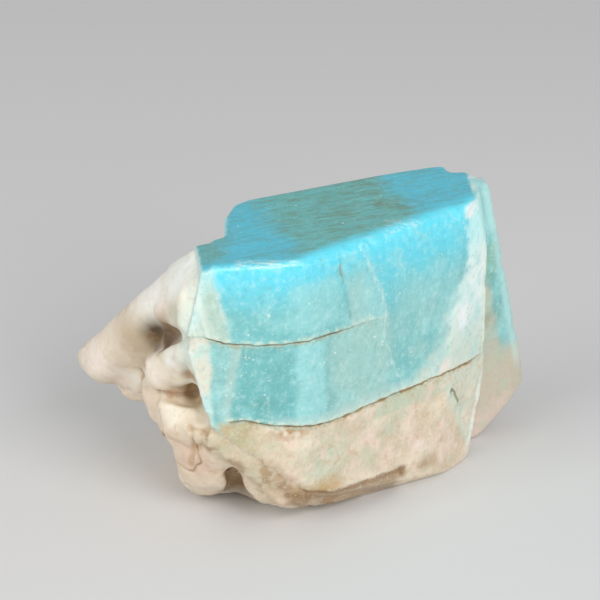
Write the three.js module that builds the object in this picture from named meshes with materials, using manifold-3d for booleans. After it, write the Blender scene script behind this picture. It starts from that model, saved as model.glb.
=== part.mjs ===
// Amazonite specimen: one blocky blue-green microcline crystal, with a plate
// grown parallel to it along its right side, standing on the white feldspar
// that it grew with. Millimetres, +Z up. X runs along the front of the
// specimen, Y runs to its back, and it rests on the flat foot at Z = 0.

import * as THREE from 'three';
import { mergeVertices } from 'three/addons/utils/BufferGeometryUtils.js';
import { ConvexGeometry } from 'three/addons/geometries/ConvexGeometry.js';
import { ImprovedNoise } from 'three/addons/math/ImprovedNoise.js';
import Module from 'manifold-3d';

// ---------------------------------------------------------------- sizes

const TOP = 40.5;             // height of the crystal's flat top face
const SHOULDER_TOP = 40.1;    // the ledge at the top face's left end
const PLATE_TOP = 39.8;       // the parallel plate on the right
const TERRACE_TOP = 31.0;     // the lower growth step on the back
const FOOT = 0;               // what the specimen stands on
const CLEARANCE = 0.3;        // gap between the crystal and the feldspar

// The top face in plan, round from its front left corner: [x, y].
const TOP_OUTLINE = [
  [-12.8, -16.4], [-1.6, -14.65], [1.2, -13.75], [4.6, -10.85],
  [22.8, 4.9], [24.7, 8.1], [26.4, 10.9], [25.9, 14.6], [23.7, 18.9],
  [21.5, 18.4], [20.7, 20.4], [19.2, 20.4], [10.6, 16.8], [2.5, 12.7],
  [-7.1, 7.9], [-9.1, 5.9], [-10.2, 1.4], [-10.2, -5.3], [-11.6, -6.4],
  [-13.8, -7.9],
];

// The front left end leans out below the top face, and in again below the
// upper crack. Every facet here is a plane through three points.
const LEFT_END_REACH = [[-15.6, -17.0], [-15.6, -8.2]];
const BLOCK_FACETS = {
  leftEnd: [[-12.8, -16.4, 40.5], [-15.2, -16.8, 29.4], [-13.9, -7.9, 40.5]],
  leftTuck: [[-15.2, -16.8, 29.4], [-12.0, -16.3, 16.5], [-15.4, -8.2, 29.4]],
  ridgeShoulder: [[24.7, 8.1, 40.5], [26.5, 11.0, 30.5], [25.2, 12.9, 40.5]],
  ridgeHeel: [[26.6, 11.1, 13.5], [24.3, 7.4, 1.6], [27.4, 22, 12]],
  frontHeel: [[0, -8.9, 0], [20, 3.1, 0], [1.2, -13.4, 4.6]],
  leftUnderside: [[-12.4, -16.3, 15.6], [-1.8, -14.7, 6.4], [-9, 6, 11.5]],
};

// The right end leans in as it goes down, as far as a small ledge; below the
// ledge its corner widens out again towards the foot.
const RIGHT_END = [[22.8, 4.9, 40.5], [20.9, 3.3, 13.0], [26.6, 11.1, 24]];
const RIGHT_CORNER = [[20.9, 3.3, 13.0], [23.9, 5.8, 1.0], [25.8, 10.0, 9.2]];
const CORNER_LEDGE = 10.8;

// The shoulder: a shallow ledge across the left end of the top face.
const SHOULDER = [[-11.6, -20], [-11.6, 0], [-18, 0], [-18, -20]];

const PLATE_OUTLINE = [
  [12, 4.4], [33.6, 20.1], [33.1, 22.4], [30.2, 22.8], [25.2, 18.3], [23.0, 18.1],
  [12, 12],
];
const PLATE_FACETS = {
  rightEnd: [[26.9, 14.4, 39.8], [33.3, 19.9, 6.6], [26.2, 17.8, 39.8]],
  rightBevel: [[26.3, 14.0, 39.8], [32.6, 19.3, 6.6], [27.0, 15.6, 39.8]],
  brokenFoot: [[33.6, 20.2, 6.2], [29.3, 16.5, 2.4], [29.0, 24, 4.4]],
  brokenHeel: [[29.3, 16.5, 2.4], [24.6, 12.6, -2.4], [27.0, 24, 0.6]],
};

// A lower growth step on the back.
const TERRACE_OUTLINE = [
  [-7.5, 7.5], [-6.6, 10.6], [1.5, 14.9], [9.2, 18.8], [17.4, 22.3],
  [23.6, 23.2], [26.6, 21.0], [20, 12],
];
const TERRACE_FACETS = {
  slopingTop: [[-7, 10.4, 24], [26, 23, 31], [10, 13, 31.5]],
  heel: [[-6, 11, 9], [24, 23.4, 4], [10, 13, -1]],
};

const HEART = [4, 0, 20];      // a point on the inner side of every facet

// Two cleavage cracks, nearly level, cut into the faces of the block that they
// cross. They stop at the plate and at the terrace.
const CRACK_WIDTH = 0.5;
const CRACK_DEPTH = 0.4;
const CRACK_STEP = 2.0;        // between the bends of a crack
const CRACK_WAVER = 0.22;      // how far it strays from level, at most
const CRACK_GRAIN = 0.35;      // waves of waver per millimetre
const CRACKS = {
  upper: {
    from: [-18, -20],
    to: [11.8, 2],
    height: (x) => 28.45 - 0.07 * x,
  },
  lower: {
    from: [-9.9, -20],
    to: [30, 26],
    height: (x) => 16.05 + 0.16 * Math.max(0, 0.7 - x),
  },
};

// The slot-shaped pit on the right corner, as a chain of balls [x, y, z, r].
const SLOT_PIT = [[21.4, 4.3, 12.9, 0.45], [21.9, 4.6, 11.7, 0.6], [22.2, 4.9, 10.4, 0.4]];

// The feldspar's lumps: each is the skin round a few balls [x, y, z, r].
const LUMPS = {
  armRoot: [
    [-13.7, -8.5, 38.2, 1.7], [-14.9, -5.5, 33.0, 4.1], [-14.0, -12.4, 36.6, 1.7],
    [-14.6, -9.2, 31.6, 2.6], [-13.7, -14.8, 37.4, 1.2], [-14.5, -15.0, 33.4, 1.3],
    [-16.2, -9.2, 30.2, 2.0],
  ],
  upperArm: [[-15.2, -5.0, 32.5, 3.9], [-20.7, 1.0, 24.8, 3.7], [-25.4, 6.5, 19.1, 3.2]],
  armTip: [[-25.4, 6.5, 19.1, 3.2], [-27.7, 9.5, 14.8, 3.3], [-30.1, 12.0, 14.3, 2.0]],
  armFin: [
    [-27.7, 9.5, 14.7, 3.3], [-24.1, 7.0, 16.5, 3.1], [-22.0, 3.5, 20.3, 2.8],
    [-19.3, -1.0, 25.3, 3.0],
  ],
  armSpur: [[-23.8, 7.5, 11.7, 2.0], [-21.1, 3.0, 14.9, 2.0], [-18, 5, 14, 3.0]],
  knob: [
    [-19.4, -7.0, 20.6, 2.2], [-16.9, -9.0, 22.5, 2.6], [-14.8, -10.5, 23.3, 2.4],
    [-15.1, -14.4, 28.0, 0.9],
  ],
  column: [
    [-19.6, -4.0, 17.2, 2.4], [-19.0, -4.5, 14.2, 2.4], [-15, -1, 17, 4],
    [-14.8, -5.8, 18.4, 2.4],
  ],
  shelf: [
    [-17.4, -8.0, 15.3, 2.5], [-14.0, -11.5, 15.8, 2.0], [-17.3, -8.0, 13.3, 2.6],
    [-13.6, -12.0, 13.9, 2.0], [-13.2, -14.0, 15.2, 1.6],
  ],
  cheek: [
    [-15.2, -8.5, 10.0, 2.6], [-11.8, -11.5, 10.9, 2.6], [-14.3, -7.5, 6.4, 2.8],
    [-11.9, -9.5, 6.7, 2.5], [-11.4, -13.6, 12.3, 1.8],
  ],
  leftFoot: [[-14.2, -7.0, 5.9, 2.9], [-11.9, -7.5, 4.9, 2.5], [-13.5, -3.5, 3.2, 2.9]],
  frontFoot: [
    [-5.2, -11.0, 5.8, 2.3], [-3.9, -10.5, 4.6, 2.2], [-6.2, -12.5, 8.7, 1.6],
    [-1.4, -9.5, 3.7, 2.6],
  ],
  footBrow: [
    [-10.6, -14.6, 12.9, 1.2], [-5.4, -13.5, 8.2, 1.5], [-1.9, -12.8, 5.0, 1.6],
    [1.0, -12.3, 4.3, 1.1],
  ],
  lip: [[0.6, -10.6, 4.0, 1.7], [4.4, -8.0, 2.6, 1.4], [8.6, -5.0, 1.8, 1.0], [2.0, -5.0, 2.0, 2.0]],
  strut: [[-18.2, -6.4, 25.2, 1.0], [-20.2, -7.2, 21.6, 1.2]],
  heartLow: [[-12.0, -1.0, 12.0, 6.0], [-12.0, 6.0, 12.0, 7.0], [-11.0, -3.0, 5.5, 5.0]],
  heartMiddle: [
    [-16.8, 1.0, 14.0, 2.0], [-16.4, 5.6, 20.6, 1.8], [-15.6, -0.6, 22.4, 1.6],
    [-11.0, -2.0, 20.0, 2.0], [-11.0, 8.0, 22.0, 2.4], [-12.0, 4.0, 10.0, 4.0],
  ],
  heartHigh: [
    [-14.6, 1.4, 30.6, 1.5], [-14.8, 4.4, 25.4, 1.6], [-15.8, 0.2, 24.6, 1.6],
    [-10.6, -1.0, 33.0, 1.6], [-10.6, 5.4, 28.4, 1.6], [-11.0, 2.0, 22.0, 2.0],
  ],
  backLeft: [
    [-14.8, 4.0, 1.6, 1.6], [-15.4, 12.6, 1.8, 1.6], [-8.4, 18.4, 2.2, 1.8],
    [-17.4, 6.4, 9.6, 1.6], [-14.4, 13.0, 11.0, 1.6], [-9.0, 17.4, 9.4, 2.0],
    [-10.0, 4.0, 12.0, 2.0], [-3.0, 10.0, 2.0, 2.0],
  ],
  backKnee: [
    [-17.4, 6.6, 11.6, 1.6], [-14.0, 12.8, 12.4, 1.6], [-9.6, 15.8, 12.0, 1.8],
    [-16.4, 7.4, 17.2, 1.5], [-13.2, 12.0, 18.4, 1.5], [-9.6, 12.6, 19.4, 2.0],
    [-10.0, 4.0, 18.0, 3.0],
  ],
  backUpper: [
    [-9.0, 12.4, 18.0, 1.6], [-4.6, 15.0, 14.4, 1.6], [-9.8, 9.0, 26.0, 1.4],
    [-7.4, 11.2, 24.4, 1.3], [-5.0, 12.6, 20.4, 1.6], [-8.0, 8.0, 16.0, 3.0],
  ],
  backMiddle: [
    [-7.2, 19.4, 1.8, 1.8], [-6.8, 18.6, 9.6, 1.6], [-1.2, 20.4, 11.0, 1.6],
    [3.6, 22.0, 9.4, 1.6], [4.6, 22.8, 1.8, 1.8], [-4.0, 14.6, 14.6, 1.8],
    [0.4, 12.0, 3.0, 2.0], [2.0, 15.0, 12.0, 2.0],
  ],
  backSaddle: [
    [6.2, 23.4, 2.0, 1.6], [5.6, 21.4, 10.4, 1.5], [8.0, 20.0, 13.4, 1.4],
    [10.4, 23.4, 6.0, 1.6], [10.6, 23.0, 1.8, 1.6], [4.0, 17.0, 13.0, 1.6],
    [9.0, 16.0, 3.0, 2.0],
  ],
  backRight: [
    [12.4, 24.2, 1.6, 1.5], [18.4, 24.4, 1.4, 1.2], [12.0, 23.8, 6.4, 1.4],
    [17.2, 23.6, 3.6, 1.3], [14.0, 22.2, 9.0, 1.2], [12.0, 18.0, 3.0, 2.0],
    [18.0, 20.0, 2.0, 1.0],
  ],
  underside: [[-12.0, 4.0, 3.8, 5.0], [-4.0, 6.0, 5.0, 6.4], [-4.0, -4.0, 5.0, 5.0]],
};

// Hollows broken or dissolved out of the feldspar.
const HOLLOWS = {
  recess: [[-16.9, -9.6, 27.7, 1.6], [-15.8, -8.0, 26.8, 1.3], [-18.2, -7.6, 26.6, 1.1]],
  eye: [[-20.2, -4.6, 22.9, 1.1], [-19.0, -1.2, 23.4, 1.2]],
  cavity: [[-8.4, -13.6, 2.4, 1.5], [-8.2, -10.0, 5.4, 1.4], [-8.4, -8.0, 1.0, 1.6]],
  backPit: [[-4.4, 21.8, 7.4, 1.9], [-2.4, 22.8, 4.6, 1.5]],
  sidePit: [[-19.6, 8.4, 7.6, 1.7], [-18.8, 5.0, 5.2, 1.5]],
};

const LARGE_BALL = 2.1;        // balls from this radius up are faceted more finely
const BALL_DETAIL = { small: 1, large: 2 };
const LUMP_FULL_SIZE = 6;      // balls smaller than this stray less
const LUMP_ROUGHNESS = 0.9;    // how far a lump's skin strays, at most
const LUMP_GRAIN = 0.26;       // waves of unevenness per millimetre

// ---------------------------------------------------------------- solids

const wasm = await Module();
wasm.setup();
const noise = new ImprovedNoise();

const BIG = 200;
const WELD = 1e-5;

function solid(geometry) {
  const bare = geometry.clone();
  bare.deleteAttribute('normal');
  bare.deleteAttribute('uv');
  const welded = mergeVertices(bare, WELD);
  return new wasm.Manifold(new wasm.Mesh({
    numProp: 3,
    vertProperties: new Float32Array(welded.attributes.position.array),
    triVerts: new Uint32Array(welded.index.array),
  }));
}

function geometryOf(manifold) {
  const mesh = manifold.getMesh();
  const geometry = new THREE.BufferGeometry();
  const positions = new THREE.BufferAttribute(new Float32Array(mesh.vertProperties), 3);
  geometry.setAttribute('position', positions);
  geometry.setIndex(new THREE.BufferAttribute(new Uint32Array(mesh.triVerts), 1));
  geometry.computeVertexNormals();
  return geometry;
}

// An outline moved outward by a distance, corner by corner.
function grownOutline(outline, distance) {
  const area = THREE.ShapeUtils.area(outline.map(([x, y]) => new THREE.Vector2(x, y)));
  const side = Math.sign(area) * distance;
  const edgeNormal = (a, b) => new THREE.Vector2(b[1] - a[1], a[0] - b[0]).normalize();
  return outline.map((corner, i) => {
    const before = outline.at(i - 1);
    const after = outline[(i + 1) % outline.length];
    const n1 = edgeNormal(before, corner);
    const n2 = edgeNormal(corner, after);
    const miter = side / (1 + n1.dot(n2));
    return [corner[0] + (n1.x + n2.x) * miter, corner[1] + (n1.y + n2.y) * miter];
  });
}

function prism(outline, bottom, top) {
  const shape = new THREE.Shape(outline.map(([x, y]) => new THREE.Vector2(x, y)));
  const depth = top - bottom;
  const geometry = new THREE.ExtrudeGeometry(shape, { depth, bevelEnabled: false });
  return solid(geometry.translate(0, 0, bottom));
}

// Everything on the far side of the plane through three points, as seen
// from the heart of the crystal, starting a distance beyond the plane.
function beyond([a, b, c], distance) {
  const corners = [a, b, c].map((p) => new THREE.Vector3(...p));
  const heart = new THREE.Vector3(...HEART);
  const plane = new THREE.Plane().setFromCoplanarPoints(...corners);
  if (plane.distanceToPoint(heart) > 0) plane.negate();
  const box = new THREE.BoxGeometry(BIG, BIG, BIG).translate(0, 0, BIG / 2 + distance);
  const zAxis = new THREE.Vector3(0, 0, 1);
  box.applyQuaternion(new THREE.Quaternion().setFromUnitVectors(zAxis, plane.normal));
  return solid(box.translate(...a));
}

function everythingBelow(height) {
  return solid(new THREE.BoxGeometry(BIG, BIG, BIG).translate(0, 0, height - BIG / 2));
}

function trimmed(body, facets, grow) {
  return Object.values(facets).reduce((rest, facet) => rest.subtract(beyond(facet, grow)), body);
}

// ---------------------------------------------------------------- crystal

// The block's outline: the top face's, with its left end reaching out to
// where the end's two facets meet.
function blockOutline() {
  return [LEFT_END_REACH[0], ...TOP_OUTLINE.slice(1, -1), LEFT_END_REACH[1]];
}

// The block, with every face moved outward by grow.
function blockBody(grow) {
  let block = prism(grownOutline(blockOutline(), grow), FOOT - grow, TOP + grow);
  block = trimmed(block, BLOCK_FACETS, grow);
  block = block.subtract(prism(grownOutline(SHOULDER, -grow), SHOULDER_TOP + grow, BIG));
  const belowLedge = everythingBelow(CORNER_LEDGE + grow);
  block = block.subtract(beyond(RIGHT_END, grow).subtract(belowLedge));
  return block.subtract(beyond(RIGHT_CORNER, grow).intersect(belowLedge));
}

// The plate and the terrace, with every face moved outward by grow.
function growths(grow) {
  const plate = prism(grownOutline(PLATE_OUTLINE, grow), FOOT - grow, PLATE_TOP + grow);
  const terrace = prism(grownOutline(TERRACE_OUTLINE, grow), FOOT - grow, TERRACE_TOP + grow);
  return trimmed(plate, PLATE_FACETS, grow).add(trimmed(terrace, TERRACE_FACETS, grow));
}

// A thin, slightly wavering sheet along a crack.
function crackSheet({ from, to, height }) {
  const width = to[0] - from[0];
  const depth = to[1] - from[1];
  const columns = Math.round(width / CRACK_STEP);
  const rows = Math.round(depth / CRACK_STEP);
  const sheet = new THREE.BoxGeometry(width, depth, CRACK_WIDTH, columns, rows, 1);
  sheet.translate(from[0] + width / 2, from[1] + depth / 2, 0);
  const position = sheet.attributes.position;
  for (let i = 0; i < position.count; i += 1) {
    const x = position.getX(i);
    const y = position.getY(i);
    const waver = CRACK_WAVER * noise.noise(x * CRACK_GRAIN, y * CRACK_GRAIN, height(0));
    position.setZ(i, position.getZ(i) + height(x) + waver);
  }
  return solid(sheet);
}

function amazoniteCrystal() {
  const core = blockBody(-CRACK_DEPTH);
  let block = blockBody(0);
  for (const crack of Object.values(CRACKS)) {
    block = block.subtract(crackSheet(crack).subtract(core));
  }
  return block.subtract(lump(SLOT_PIT)).add(growths(0));
}

// ---------------------------------------------------------------- feldspar

// Directions from a ball's centre to its corners, at each level of detail.
const BALL_CORNERS = Object.fromEntries(Object.entries(BALL_DETAIL).map(([size, detail]) => {
  const ball = new THREE.IcosahedronGeometry(1, detail);
  ball.deleteAttribute('normal');
  ball.deleteAttribute('uv');
  const { position } = mergeVertices(ball, WELD).attributes;
  const corner = (_, i) => new THREE.Vector3().fromBufferAttribute(position, i);
  return [size, Array.from({ length: position.count }, corner)];
}));

// The skin round a few balls, each of them slightly uneven.
function lump(balls) {
  const points = balls.flatMap(([x, y, z, radius]) => {
    const corners = BALL_CORNERS[radius < LARGE_BALL ? 'small' : 'large'];
    const stray = LUMP_ROUGHNESS * Math.min(1, radius / LUMP_FULL_SIZE);
    return corners.map((direction) => {
      const point = new THREE.Vector3(x, y, z).addScaledVector(direction, radius);
      const { x: u, y: v, z: w } = point.clone().multiplyScalar(LUMP_GRAIN);
      return point.addScaledVector(direction, stray * noise.noise(u, v, w));
    });
  });
  return solid(new ConvexGeometry(points));
}

function feldsparMatrix() {
  let matrix = Object.values(LUMPS).map(lump).reduce((sum, next) => sum.add(next));
  for (const hollow of Object.values(HOLLOWS)) {
    matrix = matrix.subtract(lump(hollow));
  }
  matrix = matrix.subtract(everythingBelow(FOOT));
  return matrix.subtract(blockBody(CLEARANCE)).subtract(growths(CLEARANCE));
}

// ---------------------------------------------------------------- specimen

function subpart(name, manifold, color, roughness) {
  const material = new THREE.MeshStandardMaterial({ color, roughness, metalness: 0 });
  const mesh = new THREE.Mesh(geometryOf(manifold), material);
  mesh.name = name;
  return mesh;
}

const specimen = new THREE.Group();
specimen.add(subpart('amazonite_crystal', amazoniteCrystal(), 0x6cc4cc, 0.4));
specimen.add(subpart('feldspar_matrix', feldsparMatrix(), 0xe8ddcc, 0.7));

// The origin is under the middle of the specimen.
const extent = new THREE.Box3().setFromObject(specimen, true);
const middle = extent.getCenter(new THREE.Vector3());
specimen.position.set(-middle.x, -middle.y, -extent.min.z);
specimen.updateMatrixWorld(true);

export default specimen;
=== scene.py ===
"""An amazonite crystal on white feldspar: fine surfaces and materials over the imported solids.

Arrays of points hold millimetres in the row frame (+Z up, +X to the right along the front, +Y to
the back). Blender's meshes hold metres. Both pieces start as a dense copy of their solid, which is
then worn, cracked and pitted, and carries its zones of colour as attributes of its points.
"""

import itertools
import math

import bmesh
import bpy
import numpy as np
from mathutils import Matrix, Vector
from mathutils.bvhtree import BVHTree


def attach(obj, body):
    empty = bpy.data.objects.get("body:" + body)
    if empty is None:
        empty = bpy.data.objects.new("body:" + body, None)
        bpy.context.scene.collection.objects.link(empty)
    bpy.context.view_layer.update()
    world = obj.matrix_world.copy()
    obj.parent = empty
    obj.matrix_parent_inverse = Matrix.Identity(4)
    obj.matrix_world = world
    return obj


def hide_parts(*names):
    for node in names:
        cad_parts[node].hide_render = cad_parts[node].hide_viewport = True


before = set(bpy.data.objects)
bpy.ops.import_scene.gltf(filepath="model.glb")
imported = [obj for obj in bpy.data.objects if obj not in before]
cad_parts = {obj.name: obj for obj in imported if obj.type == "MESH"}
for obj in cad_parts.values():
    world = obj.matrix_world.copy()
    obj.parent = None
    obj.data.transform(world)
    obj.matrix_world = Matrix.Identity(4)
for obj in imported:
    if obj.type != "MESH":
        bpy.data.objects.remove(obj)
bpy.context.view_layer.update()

MM = 0.001                       # metres in a millimetre
CRYSTAL_NODE = "amazonite_crystal"
MATRIX_NODE = "feldspar_matrix"
CRYSTAL_GRID = 0.33              # spacing of the fine meshes' points
MATRIX_GRID = 0.30
FAR = 9.0                        # stands for any distance that is too large to matter
PATH_LIFT = 2.5                  # a path belongs to the surface that is no further under it
SAME_WAY = 0.985                 # two directions are alike if their cosine is above this
CRACK_BAND = 0.7                 # the crystal's mesh is finer this near to the cracks
SLOT_BAND = 0.8                  # and this near to the slot

# ---- colours


def srgb(red, green, blue):
    """A colour given in 0 to 255 display values, as linear light."""
    value = np.array((red, green, blue), float) / 255
    return np.where(value <= 0.04045, value / 12.92, ((value + 0.055) / 1.055) ** 2.4)


CYAN = srgb(100, 226, 248)
TEAL = srgb(118, 192, 194)
DEEP_TEAL = srgb(104, 174, 172)
GREY_TEAL = srgb(168, 210, 204)
PALE_TEAL = srgb(162, 222, 222)
TOP_BLUE = srgb(84, 198, 222)
TOP_GREEN = srgb(106, 184, 180)
STREAK_OLIVE = srgb(112, 140, 112)
ICE = srgb(216, 243, 237)
PALE_GREEN = srgb(206, 218, 202)
SAGE = srgb(190, 204, 180)
CREAM = srgb(238, 226, 204)
BEIGE = srgb(216, 200, 176)
PINK = srgb(238, 216, 200)
OLIVE = srgb(146, 140, 98)
STAINED_OLIVE = srgb(182, 172, 128)
WHITE = srgb(250, 249, 242)
TAN = srgb(196, 162, 116)
RUST = srgb(172, 122, 68)
BROWN = srgb(140, 106, 70)
DARK_BROWN = srgb(66, 46, 26)

# ---- lines drawn on the crystal

STREAK_ANGLE = math.radians(25.4)               # the top's streaks run along its back edge

# The upper crack's height, and the lower one's, at each x along the front.
UPPER_CRACK = {
    "x": (-16.0, -13.5, -12.0, -10.6, -6.7, -3.2, 0.1, 5.5, 7.4, 10.5, 14.6, 17.5),
    "z": (30.6, 30.6, 29.9, 29.4, 28.7, 28.6, 28.7, 28.6, 28.5, 28.1, 27.6, 27.4),
}
LOWER_CRACK = {
    "x": (-12.0, -8.3, -4.7, -1.7, 1.6, 3.8, 9.1, 20.3, 25.0),
    "z": (17.7, 17.6, 16.7, 16.2, 15.7, 15.4, 15.7, 16.0, 15.5),
}
# Where each crack gapes: 1 is fully open, 0 is healed.
UPPER_GAPE = {"x": (-15.5, -13.5, -12, 3, 7, 10.5, 12.5), "open": (0.3, 0.4, 1.0, 1.0, 0.5, 0.35, 0.0)}
LOWER_GAPE = {"x": (-10.8, -9.8, -2, 14, 23, 25.2, 26), "open": (0.0, 0.7, 1.0, 1.0, 0.8, 0.5, 0.0)}

# The solid's own cracks: the upper one's height at x = 0 and its slope, and the lower one's height,
# the x of its bend and how steeply it climbs to the left of that. Both lie within CRACK_REACH of that.
SOLID_UPPER = (28.45, -0.07)
SOLID_LOWER = (16.05, 0.17, 0.16)
CRACK_REACH = 1.1

# The faint upright crack on the right face, and the pale line to the right of it, as x at each z.
UPRIGHT_CRACK = {
    "z": (24, 28.6, 31, 33.6, 35.3, 37.4, 39.2, 40.6),
    "x": (7.0, 6.5, 6.2, 5.7, 5.4, 4.9, 4.7, 4.6),
}
PALE_LINE = {
    "z": (16.6, 20.3, 23, 25.7, 29, 31.8, 34.3, 36.9, 39.7),
    "x": (13.8, 12.4, 11.7, 10.9, 11.3, 10.7, 9.8, 8.9, 7.7),
}
# The edges of the blue zone, as x at each z.
BLUE_RIGHT = {
    "z": (14, 16.5, 18.3, 20.5, 22.1, 25.5, 27.9, 30, 31.7, 34.3, 37.6, 41),
    "x": (14.0, 14.7, 16.4, 18.6, 19.5, 20.5, 21.3, 22.3, 22.9, 23.1, 22.7, 22.0),
}
BLUE_LEFT = {
    "z": (15, 22, 28.9, 29.7, 31.4, 34.3, 37.3, 41),
    "x": (-12.6, -12.5, -12.2, -9.7, -10.2, -11.0, -11.5, -12.0),
}

# The ridge between the right end's face and the groove in front of the plate, as x at each z.
RIDGE = {"z": (1.6, 13.5, 30.5, 40.5), "x": (23.8, 26.0, 25.9, 24.2)}

# The dark slot under the lower crack, near the right corner. A low swelling surrounds it.
SLOT = ((20.65, -0.5, 12.5), (20.8, -0.3, 13.0), (21.4, 0.2, 12.2), (21.8, 0.9, 10.5))

# Stains on the plate: a centre with its height multiplied by 0.6, a radius and a linear colour.
PLATE_STAINS = (
    ((26.8, 11.2, 15.0), 1.5, (0.125, 0.347, 0.279)),
    ((27.9, 11.9, 12.4), 1.6, (0.118, 0.332, 0.332)),
    ((28.2, 12.0, 10.9), 1.3, (0.279, 0.332, 0.209)),
    ((26.4, 10.9, 11.4), 1.4, (0.392, 0.392, 0.279)),
)

# The crevice over the lip at the foot of the right face.
CREVICE = ((-2.2, -18.8, 5.9), (0.8, -17.9, 4.8), (3.5, -15.7, 4.3), (8.2, -11.7, 3.9), (14.2, -6.5, 3.7))

# The crystal's lower left edge, which small crumbs of feldspar overlap.
HEEL_EDGE = ((-12.2, -20.7, 14.9), (0.8, -18.1, 3.8))

# ---- arithmetic on arrays of points


def ramp(low, high, value):
    """0 where value is low, 1 where it is high, smooth between."""
    t = np.clip((value - low) / (high - low), 0, 1)
    return t * t * (3 - 2 * t)


def band(value, low, high, softness):
    """1 from low to high, falling to 0 over softness on both sides."""
    return ramp(low - softness, low, value) * ramp(high + softness, high, value)


def along(line, value):
    """A line's second coordinate where its first one has a value."""
    known, sought = line.values()
    return np.interp(value, known, sought)


def right_of(line, points):
    """How far right of a line, which gives x at each z, the points lie."""
    return points[:, 0] - along(line, points[:, 2])


def ball(points, centre, radius):
    """1 at the centre, falling to 0 at the radius."""
    return ramp(radius, 0, np.linalg.norm(points - np.array(centre), axis=1))


def hashed(cell, seed):
    """A repeatable random number from 0 to 1 for each whole-number cell."""
    x, y, z = (cell[:, i].astype(np.int64) for i in range(3))
    h = (x * 73856093) ^ (y * 19349663) ^ (z * 83492791) ^ (seed * 2654435761)
    h = (h ^ (h >> 13)) * 1274126177 & 0xFFFFFFFF
    h = (h ^ (h >> 16)) * 2246822519 & 0xFFFFFFFF
    return ((h ^ (h >> 13)) & 0xFFFFFF) / 0xFFFFFF


TILT = np.array(((0.36, 0.48, -0.8), (-0.8, 0.6, 0.0), (0.48, 0.64, 0.6)))


def noise(points, size, seed=0):
    """Smooth noise from -1 to 1, in bumps about size millimetres across."""
    q = points @ TILT.T / size + seed * 17.31
    cell = np.floor(q)
    f = q - cell
    f = f * f * f * (f * (f * 6 - 15) + 10)
    total = np.zeros(len(points))
    for corner in itertools.product((0, 1), repeat=3):
        weight = np.prod(np.where(corner, f, 1 - f), axis=1)
        total += weight * hashed(cell + corner, seed)
    return total * 2 - 1


def fractal(points, size, octaves, seed=0):
    """Noise with finer and weaker noise added to it."""
    layers = [noise(points, size / 2**i, seed + i) / 2**i for i in range(octaves)]
    return sum(layers) / sum(0.5**i for i in range(octaves))


def stretched(points, sizes, angle=0.0):
    """Points turned by an angle about Z, then divided by a size for each axis."""
    c, s = math.cos(angle), math.sin(angle)
    x, y, z = points.T
    turned = np.stack((x * c + y * s, -x * s + y * c, z), axis=1)
    return turned / np.array(sizes)


def warps(points):
    """Wide and fine noise that makes the borders between colours ragged."""
    return fractal(points, 2.6, 3, 30), fractal(points, 1.1, 3, 31)


def depth_behind(points, face):
    """How far each point lies behind a face's plane."""
    normal, distance = face
    return distance - points @ normal


def mixed(colour, other, share):
    """A colour with a share of another, both given once or at each point."""
    share = np.clip(share, 0, 1)[:, None]
    return colour * (1 - share) + other * share


def layered(colour, *layers):
    """A colour with others laid over it in turn, each with its share at each point."""
    for other, share in layers:
        colour = mixed(colour, other, share)
    return colour


# ---- meshes


def placed(name, data):
    thing = bpy.data.objects.new(name, data)
    bpy.context.scene.collection.objects.link(thing)
    return thing


def remeshed(mesh, spacing):
    """The union of a mesh's closed parts, as an even, fine mesh."""
    carrier = placed("carrier", mesh)
    modifier = carrier.modifiers.new("Remesh", "REMESH")
    modifier.mode = "VOXEL"
    modifier.voxel_size = spacing * MM
    result = evaluated_mesh(carrier)
    bpy.data.objects.remove(carrier)
    return result


def evaluated_mesh(carrier):
    evaluated = carrier.evaluated_get(bpy.context.evaluated_depsgraph_get())
    return bpy.data.meshes.new_from_object(evaluated)


def written(work, mesh):
    """A mesh, after the bmesh that was worked on is written to it."""
    work.to_mesh(mesh)
    work.free()
    return mesh


def joined(*meshes):
    work = bmesh.new()
    for mesh in meshes:
        work.from_mesh(mesh)
    return written(work, bpy.data.meshes.new("joined"))


def without(mesh, cutter):
    """A mesh less the space inside another one."""
    body = placed("body", mesh)
    tool = placed("tool", cutter)
    modifier = body.modifiers.new("Boolean", "BOOLEAN")
    modifier.operation = "DIFFERENCE"
    modifier.solver = "MANIFOLD"
    modifier.object = tool
    result = evaluated_mesh(body)
    for carrier in (body, tool):
        bpy.data.objects.remove(carrier)
    return result


def rows_of(items, name, width, kind=float):
    """A named value of each of a mesh's vertices or edges, as rows."""
    flat = np.empty(len(items) * width, kind)
    items.foreach_get(name, flat)
    return flat.reshape(-1, width)


def points_of(mesh):
    return rows_of(mesh.vertices, "co", 3) / MM


def move_to(mesh, points):
    mesh.vertices.foreach_set("co", (points * MM).ravel())
    mesh.update()


def normals_of(mesh):
    return rows_of(mesh.vertices, "normal", 3)


def surface_of(mesh):
    return points_of(mesh), normals_of(mesh)


def shrunk(mesh, distance):
    """A copy of a mesh, with its surface moved inward."""
    inner = mesh.copy()
    move_to(inner, points_of(inner) - normals_of(inner) * distance)
    return inner


def edges_of(mesh):
    return rows_of(mesh.edges, "vertices", 2, np.int64)


def neighbour_mean(values, edges):
    count = len(values)
    degree = np.bincount(edges.ravel(), minlength=count)
    total = np.zeros_like(values)
    for axis in range(values.shape[1]):
        total[:, axis] += np.bincount(edges[:, 0], values[edges[:, 1], axis], count)
        total[:, axis] += np.bincount(edges[:, 1], values[edges[:, 0], axis], count)
    return total / degree[:, None]


def relaxed(points, edges, rounds, weight=0.5):
    """Points drawn towards their neighbours, which rounds edges and keeps flat faces flat."""
    weight = np.broadcast_to(weight, len(points))[:, None]
    for _ in range(rounds):
        points = points + weight * (neighbour_mean(points, edges) - points)
    return points


def dots(first, second):
    """The dot product of each pair of rows."""
    return np.einsum("ij,ij->i", first, second)


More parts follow.
